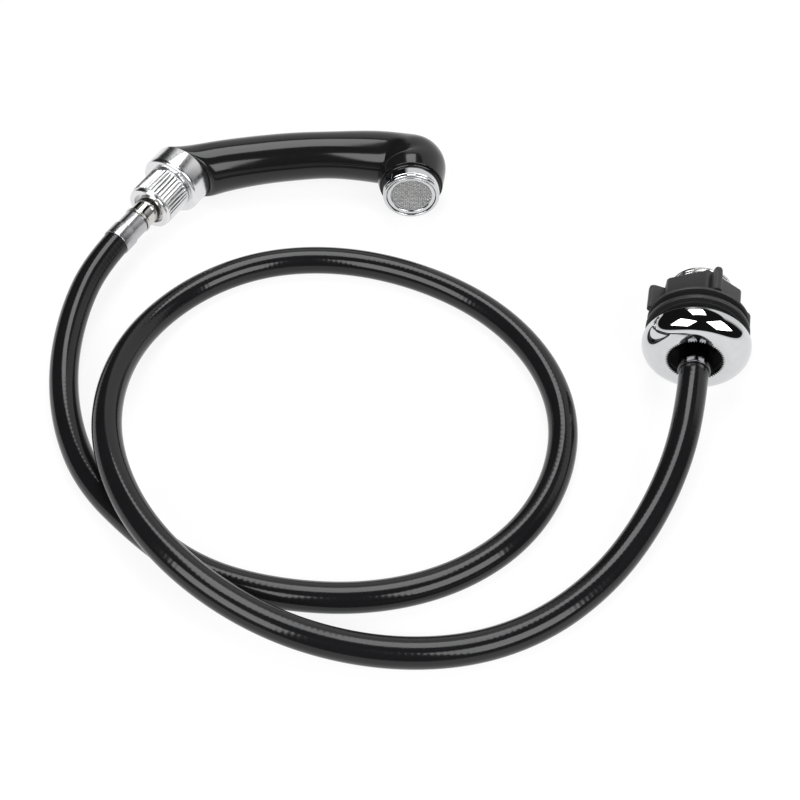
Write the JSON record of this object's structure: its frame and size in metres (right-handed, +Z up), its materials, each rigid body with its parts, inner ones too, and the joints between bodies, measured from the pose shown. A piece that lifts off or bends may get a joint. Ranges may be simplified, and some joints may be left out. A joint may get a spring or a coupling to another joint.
{
  "type": "pull-out spray hose set",
  "caption": "Pull-out basin spray: curved black handle with aerator, swivelling coupling nut, long flexible black hose, and a domed deck dock clamped by a wing nut.",
  "frame": {"origin": "on the surface it lies on, under the middle of the box round the handset, the ferrules and the dock, without the free hose", "axes": "+X from the handset towards the dock, +Y away from the hose's loop, towards the handset's outer side, +Z up from the surface"},
  "size_m": [0.345, 0.3195, 0.052],
  "materials": {
    "hose_vinyl": "gloss",
    "braid": "woven",
    "liner": "smooth",
    "satin_metal": "satin",
    "bright_metal": "nickel plated",
    "seal_rubber": "matt",
    "chrome": "polished",
    "white_plastic": "smooth",
    "handle_gloss": "high gloss",
    "steel_mesh": "woven",
    "shank_metal": "machined",
    "black_plastic": "fine grain"
  },
  "bodies": {
    "hose": {"hose_jacket": "hose_vinyl", "hose_braid": "braid", "hose_liner": "liner", "handset_ferrule": "satin_metal", "swivel_stem": "bright_metal", "stem_o_ring": "seal_rubber", "hose_washer": "seal_rubber", "inlet_ferrule": "chrome", "inlet_stem": "bright_metal", "inlet_washer": "seal_rubber"},
    "handset": {"handle_shell": "handle_gloss", "handle_collar": "chrome", "inlet_nipple": "bright_metal", "nipple_o_ring": "seal_rubber", "socket_sleeve": "bright_metal", "spout_insert": "bright_metal"},
    "slip_ring": {"nut_slip_ring": "white_plastic"},
    "coupling_nut": {"coupling_nut": "chrome"},
    "aerator_seal": {"aerator_gasket": "seal_rubber"},
    "aerator": {"aerator_housing": "chrome", "aerator_inner_ring": "chrome", "aerator_mesh": "steel_mesh", "aerator_core": "white_plastic"},
    "dock": {"dock_dome": "chrome", "dock_shank": "shank_metal", "guide_bush": "black_plastic", "dome_gasket": "seal_rubber"},
    "clamp_washer": {"clamp_washer": "black_plastic"},
    "friction_washer": {"friction_washer": "seal_rubber"},
    "wing_nut": {"wing_nut": "black_plastic"},
    "inlet_nut": {"inlet_nut": "bright_metal"}
  },
  "joints": [
    {"name": "handset_swivel", "type": "hinge", "parent": "hose", "child": "handset", "pos_m": [-0.14246, 0.03434, 0.0169], "axis": [-0.4848, -0.8746, 0], "continuous": true},
    {"name": "coupling_travel", "type": "slide", "parent": "handset", "child": "slip_ring", "axis": [-0.4848, -0.8746, 0], "range_m": [0, 0.009]},
    {"name": "coupling_turn", "type": "hinge", "parent": "slip_ring", "child": "coupling_nut", "pos_m": [-0.13761, 0.04308, 0.0169], "axis": [-0.4848, -0.8746, 0], "range_deg": [0, 1790]},
    {"name": "aerator_travel", "type": "slide", "parent": "handset", "child": "aerator_seal", "axis": [0, -1, 0], "range_m": [0, 0.008]},
    {"name": "aerator_turn", "type": "hinge", "parent": "aerator_seal", "child": "aerator", "pos_m": [-0.0033, 0.0442, 0.0195], "axis": [0, -1, 0], "range_deg": [0, 2885]},
    {"name": "dock_slide", "type": "slide", "parent": "hose", "child": "dock", "axis": [0.1908, 0.9816, 0], "range_m": [0, 0.06]},
    {"name": "clamp_washer_slide", "type": "slide", "parent": "dock", "child": "clamp_washer", "axis": [-0.1908, -0.9816, 0], "range_m": [0, 0.005]},
    {"name": "wing_nut_travel", "type": "slide", "parent": "dock", "child": "friction_washer", "axis": [-0.1908, -0.9816, 0], "range_m": [-0.02, 0.003]},
    {"name": "wing_nut_turn", "type": "hinge", "parent": "friction_washer", "child": "wing_nut", "pos_m": [0.13682, -0.05025, 0.026], "axis": [-0.1908, -0.9816, 0], "range_deg": [-4805, 725]},
    {"name": "inlet_nut_turn", "type": "hinge", "parent": "hose", "child": "inlet_nut", "pos_m": [0.13549, -0.05712, 0.026], "axis": [0.1908, 0.9816, 0], "continuous": true}
  ],
  "couplings": [
    {"joint": "coupling_turn", "follows": "coupling_travel", "rad_per_m": 3463.7},
    {"joint": "aerator_turn", "follows": "aerator_travel", "rad_per_m": 6283.2},
    {"joint": "wing_nut_turn", "follows": "wing_nut_travel", "rad_per_m": 4188.8}
  ]
}
